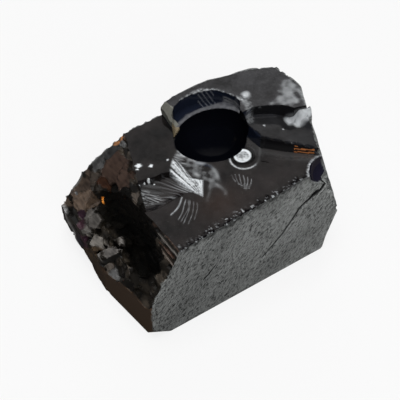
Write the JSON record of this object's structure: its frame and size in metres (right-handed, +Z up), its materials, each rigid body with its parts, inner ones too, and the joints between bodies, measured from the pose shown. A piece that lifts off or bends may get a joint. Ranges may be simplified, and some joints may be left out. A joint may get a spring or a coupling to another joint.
{
  "type": "shungite stone",
  "caption": "Broken piece of glassy black shungite: flat base and matte grey front face, glassy top with shell-shaped scars and a bowl, rough splintered left end.",
  "frame": {"origin": "the middle of the stone's bounding box, on the plane that its flat base rests on", "axes": "+X runs right along the foot of the grey front face, +Y runs from the front face to the back, +Z is up"},
  "size_m": [0.0682, 0.048, 0.0394],
  "materials": {
    "shungite": "glassy black on the shell-shaped scars, brown-black on the rough left end, matte grey on the flat front joint face"
  },
  "bodies": {
    "root": {"stone": "shungite"}
  },
  "joints": []
}
